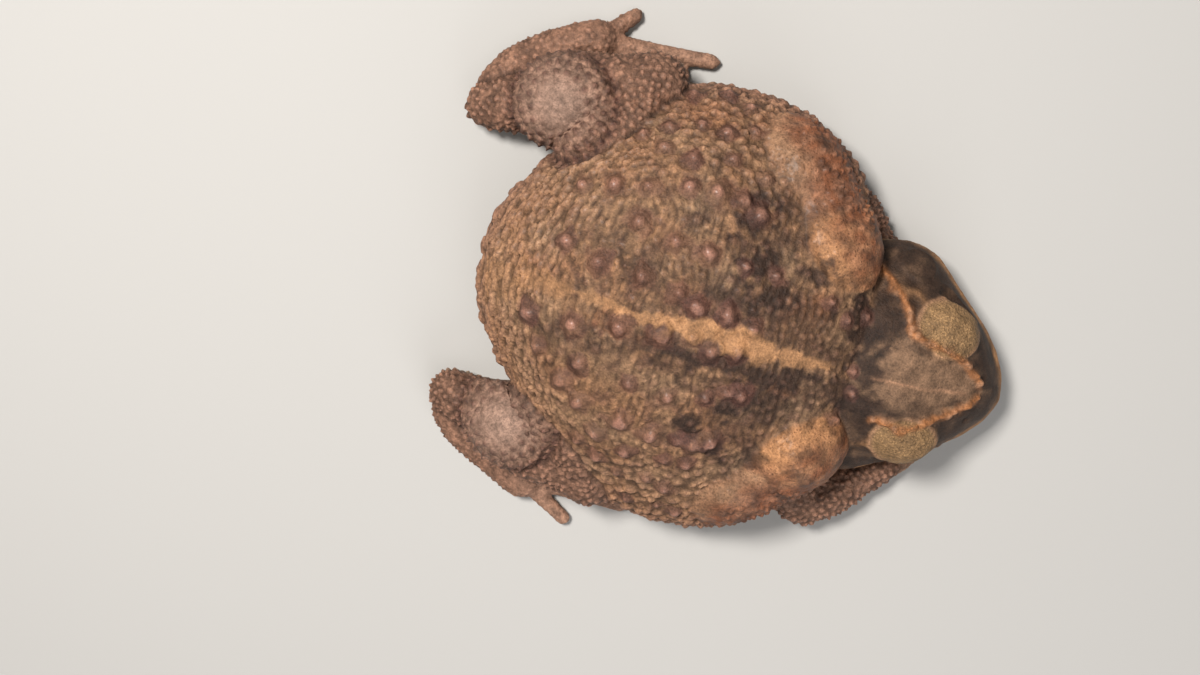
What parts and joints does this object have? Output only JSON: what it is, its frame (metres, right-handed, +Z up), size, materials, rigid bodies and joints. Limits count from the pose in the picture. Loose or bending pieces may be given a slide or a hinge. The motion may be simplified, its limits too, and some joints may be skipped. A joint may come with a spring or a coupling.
{
  "type": "cane toad model",
  "caption": "Still, life-size cane toad crouched flat on its belly, with parotoid glands, bony head crests, warts, folded limbs and webbed hind feet.",
  "frame": {"origin": "on the ground, on the flat underside of the belly, 126 mm behind the lip and 158 mm ahead of the rearmost heel", "axes": "+X from the rump to the snout, +Y to the toad's left, +Z up from the ground"},
  "size_m": [0.2844, 0.2622, 0.0895],
  "materials": {
    "skin": "dry, warty skin in earth browns with a pale line down the back",
    "gland": "smooth, finely pored and wrinkled red-brown gland skin",
    "eardrum": "smooth dark membrane",
    "eye": "wet, dark pupil in a gold-flecked iris"
  },
  "bodies": {
    "root": {"torso": "skin", "head": "skin", "lower_jaw": "skin", "eye_left": "eye", "eye_right": "eye", "eardrum_left": "eardrum", "eardrum_right": "eardrum", "parotoid_left": "gland", "parotoid_right": "gland", "upper_arm_left": "skin", "upper_arm_right": "skin", "forearm_left": "skin", "forearm_right": "skin", "hand_left": "skin", "hand_right": "skin", "thigh_left": "skin", "thigh_right": "skin", "shank_left": "skin", "shank_right": "skin", "foot_left": "skin", "foot_right": "skin"}
  },
  "joints": []
}
